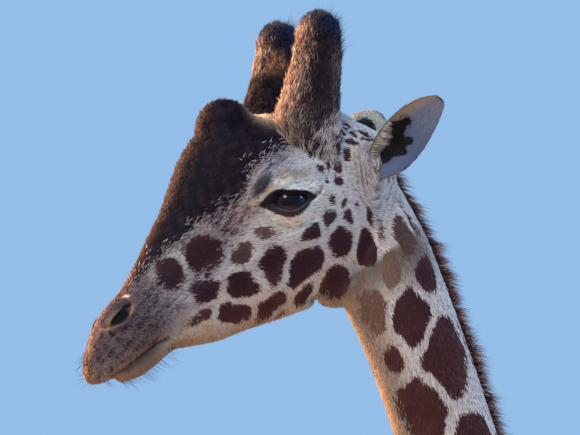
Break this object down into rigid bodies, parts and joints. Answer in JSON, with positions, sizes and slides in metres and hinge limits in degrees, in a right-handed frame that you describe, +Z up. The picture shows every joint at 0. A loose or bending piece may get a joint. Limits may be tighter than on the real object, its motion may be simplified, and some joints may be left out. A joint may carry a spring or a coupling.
{
  "type": "reticulated giraffe bull, life-size museum model",
  "caption": "Adult male reticulated giraffe standing still, head level on a long sloping neck, hair-covered ossicones, forehead boss, ears spread, short mane, tufted tail and cloven hooves.",
  "frame": {"origin": "on the floor, below the middle of the animal's bounding box", "axes": "+Z up, the animal faces -Y and its left side is +X"},
  "size_m": [0.7696, 2.921, 5.1515],
  "materials": {
    "netted_coat": "matte short hair, dark chestnut patches in a pale net",
    "chin_skin": "matte short hair, cream",
    "ear_skin": "matte short hair, cream outside and grey inside",
    "ossicone_hair": "matte shaggy hair, red-brown with dark tips",
    "mane_hair": "matte stiff hair, red-brown",
    "tail_hair": "matte coarse hair, black",
    "eye": "wet gloss",
    "hoof_horn": "satin horn"
  },
  "bodies": {
    "root": {"head": "netted_coat", "lower_jaw": "chin_skin", "neck_upper": "netted_coat", "neck_lower": "netted_coat", "trunk": "netted_coat", "mane": "mane_hair", "tail_dock": "netted_coat", "tail_tuft": "tail_hair", "ear_left": "ear_skin", "ear_right": "ear_skin", "eye_left": "eye", "eye_right": "eye", "ossicone_left": "ossicone_hair", "ossicone_right": "ossicone_hair", "upper_leg_front_left": "netted_coat", "lower_leg_front_left": "netted_coat", "hoof_outer_front_left": "hoof_horn", "hoof_inner_front_left": "hoof_horn", "upper_leg_front_right": "netted_coat", "lower_leg_front_right": "netted_coat", "hoof_outer_front_right": "hoof_horn", "hoof_inner_front_right": "hoof_horn", "upper_leg_hind_left": "netted_coat", "lower_leg_hind_left": "netted_coat", "hoof_outer_hind_left": "hoof_horn", "hoof_inner_hind_left": "hoof_horn", "upper_leg_hind_right": "netted_coat", "lower_leg_hind_right": "netted_coat", "hoof_outer_hind_right": "hoof_horn", "hoof_inner_hind_right": "hoof_horn"}
  },
  "joints": []
}
